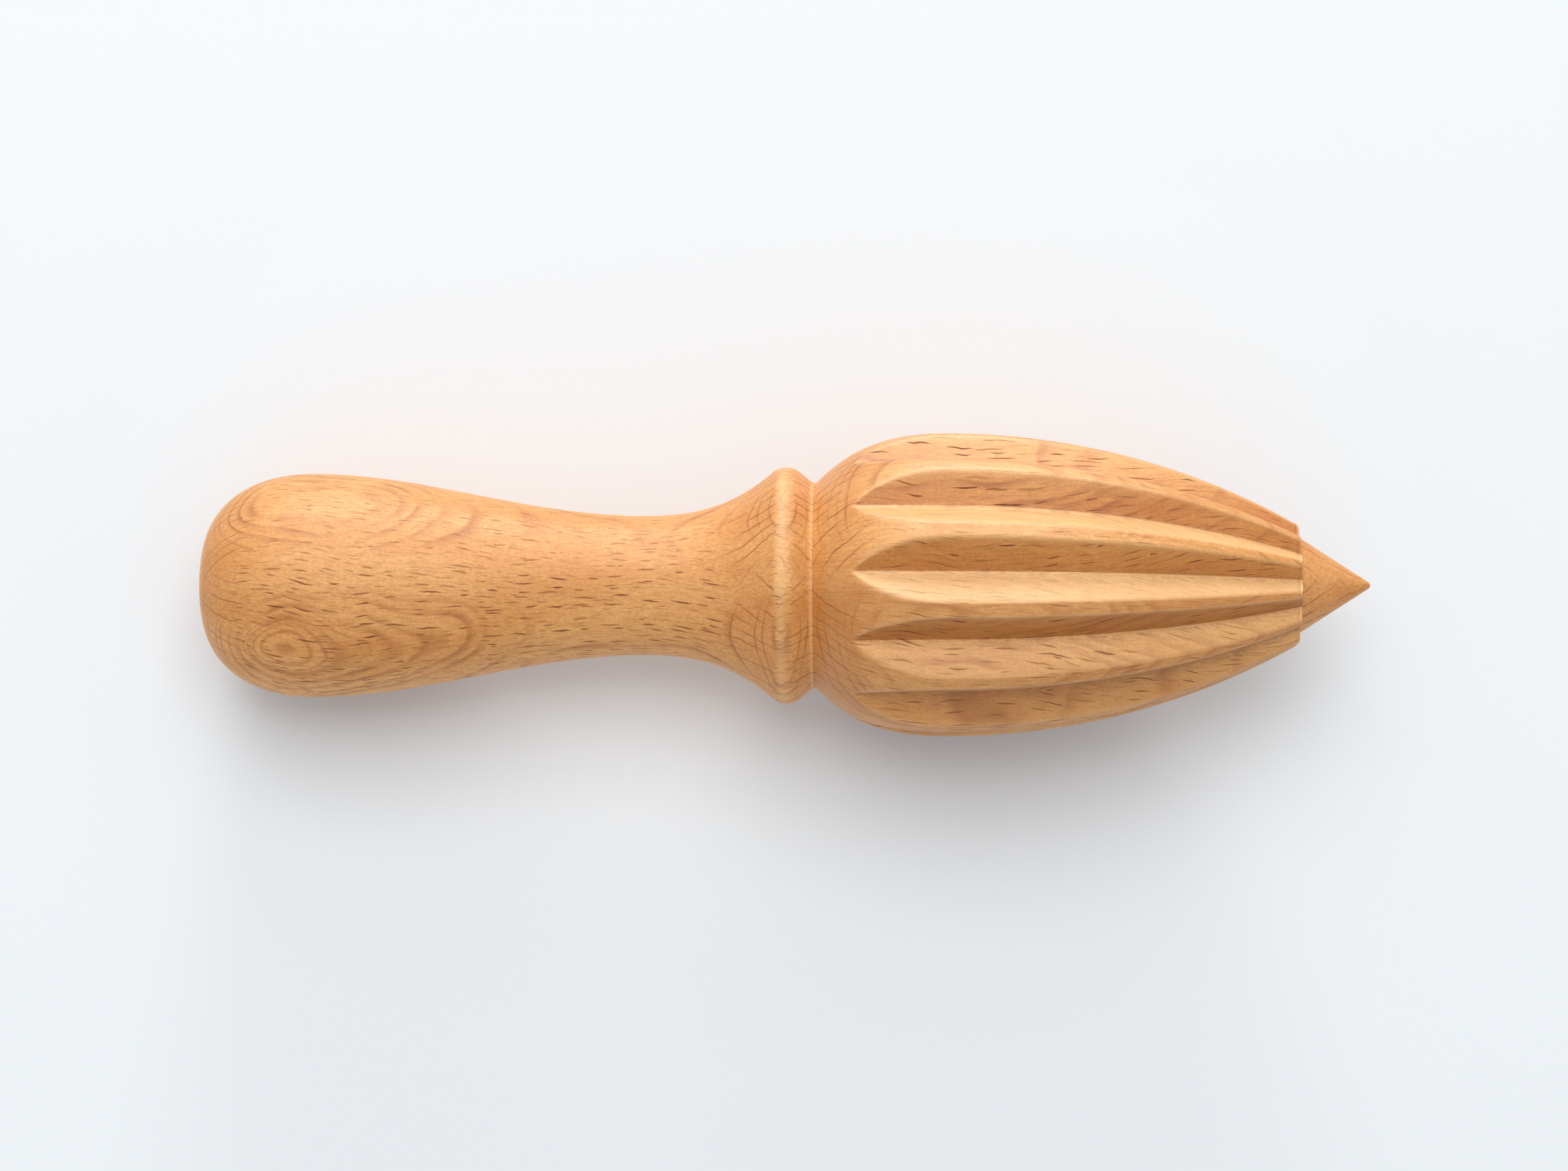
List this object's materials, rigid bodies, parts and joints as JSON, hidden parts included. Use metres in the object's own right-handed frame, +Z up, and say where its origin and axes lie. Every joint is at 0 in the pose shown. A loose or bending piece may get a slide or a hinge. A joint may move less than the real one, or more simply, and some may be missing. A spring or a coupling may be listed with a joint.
{
  "type": "wooden citrus reamer",
  "caption": "Turned beech citrus reamer: bulb grip with a slim waist and rounded collar, pointed head with long V-flutes.",
  "frame": {"origin": "centre of the small flat that the grip ends in, on the turning axis", "axes": "+X along the turning axis from the butt to the point; +Z up, through the middle of one flute"},
  "size_m": [0.16, 0.0408, 0.0408],
  "materials": {
    "grip_beech": "oiled, satin",
    "head_beech": "oiled, satin",
    "dowel_beech": "oiled, satin"
  },
  "bodies": {
    "root": {"handle": "grip_beech", "fluted_head": "head_beech", "centre_dowel": "dowel_beech"}
  },
  "joints": []
}
